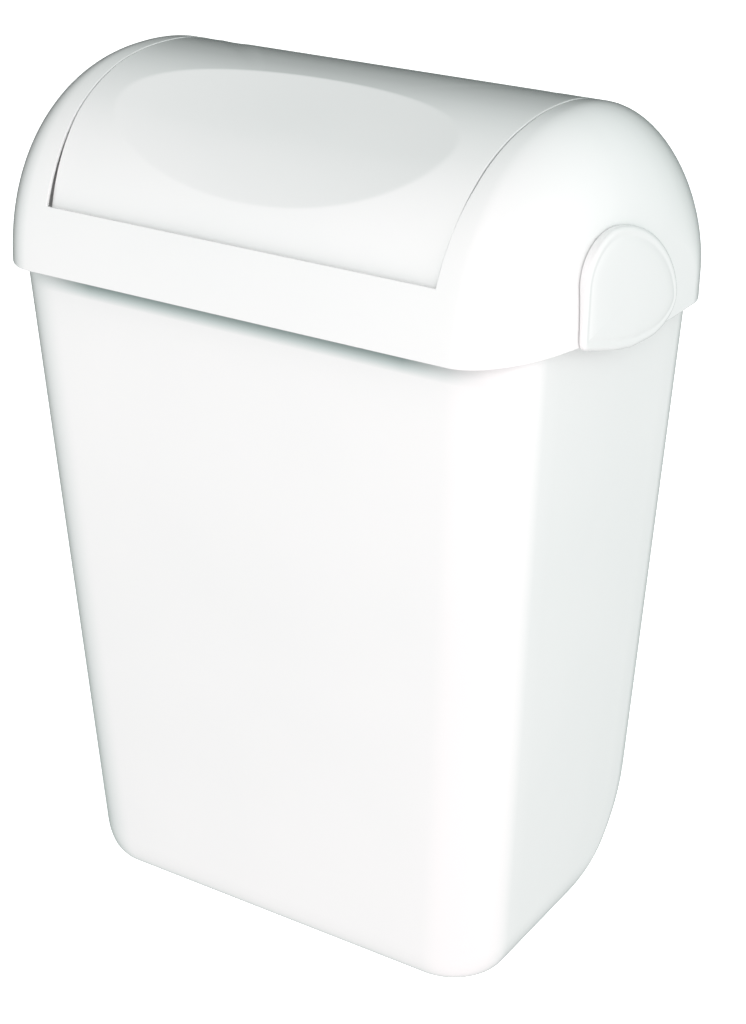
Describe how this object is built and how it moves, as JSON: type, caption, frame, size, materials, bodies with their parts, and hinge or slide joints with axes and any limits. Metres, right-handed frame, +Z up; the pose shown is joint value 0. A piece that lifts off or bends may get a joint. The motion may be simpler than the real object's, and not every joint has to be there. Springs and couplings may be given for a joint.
{
  "type": "washroom waste bin",
  "caption": "Wall-mountable washroom waste bin: tapered plastic body, lift-off domed hood with a side release lever and a counterweighted swing flap.",
  "frame": {"origin": "centre of the base of the bounding box, on the floor", "axes": "+Z up, +Y towards the wall, -Y the front with the flap, X along the width"},
  "size_m": [0.4134, 0.285, 0.5955],
  "materials": {
    "bin_body": "gloss white",
    "hood": "gloss white",
    "swing_flap": "gloss white",
    "side_latch": "gloss white",
    "clip_plastic": "satin",
    "plug_plastic": "satin",
    "bush_plastic": "satin",
    "bumper_rubber": "matte",
    "ring_wire": "bright drawn wire",
    "zinc_steel": "zinc plated"
  },
  "bodies": {
    "bin": {"bag_clip_left": "clip_plastic", "bag_clip_right": "clip_plastic", "bag_ring": "ring_wire", "bin_body": "bin_body", "wall_hole_plug_1": "plug_plastic", "wall_hole_plug_2": "plug_plastic", "wall_hole_plug_3": "plug_plastic", "wall_hole_plug_4": "plug_plastic"},
    "hood": {"hood": "hood", "pivot_bush_left": "bush_plastic", "pivot_bush_right": "bush_plastic", "flap_bumper_left": "bumper_rubber", "flap_bumper_right": "bumper_rubber", "latch_spring": "zinc_steel"},
    "flap": {"swing_flap": "swing_flap", "pivot_pin_left": "zinc_steel", "pivot_pin_right": "zinc_steel", "counterweight_bar": "zinc_steel", "bar_clip_left": "zinc_steel", "bar_clip_right": "zinc_steel"},
    "latch": {"side_latch": "side_latch", "latch_pin": "zinc_steel"}
  },
  "joints": [
    {"name": "hood_lift", "type": "slide", "parent": "bin", "child": "hood", "axis": [0, 0, 1], "range_m": [0, 0.16]},
    {"name": "flap_swing", "type": "hinge", "parent": "hood", "child": "flap", "pos_m": [0, -0.012, 0.538], "axis": [1, 0, 0], "range_deg": [0, 50]},
    {"name": "latch_pull", "type": "hinge", "parent": "hood", "child": "latch", "pos_m": [0.195, -0.03, 0.528], "axis": [0, -1, 0], "range_deg": [0, 5], "stiffness_Nm_per_rad": 0.8}
  ]
}
